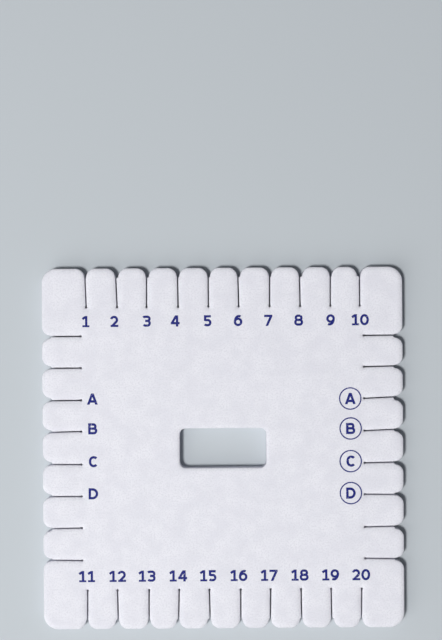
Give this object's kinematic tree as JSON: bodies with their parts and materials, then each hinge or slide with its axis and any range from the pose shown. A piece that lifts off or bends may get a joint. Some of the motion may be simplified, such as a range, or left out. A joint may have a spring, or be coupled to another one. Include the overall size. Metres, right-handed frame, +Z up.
{
  "type": "kumihimo plate",
  "caption": "Square die-cut foam braiding plate with thread slits along all its edges and an oblong opening in the middle for the finished braid.",
  "frame": {"origin": "on the underside, below the middle of the opening", "axes": "+Z up through the plate to its numbered face, +Y towards the edge whose slits are numbered from 1, +X to the right of that face as it is read"},
  "size_m": [0.1, 0.1, 0.005],
  "materials": {
    "white_foam": "matt closed-cell foam skin, near white with a cool tint"
  },
  "bodies": {
    "root": {"foam_plate": "white_foam"}
  },
  "joints": []
}
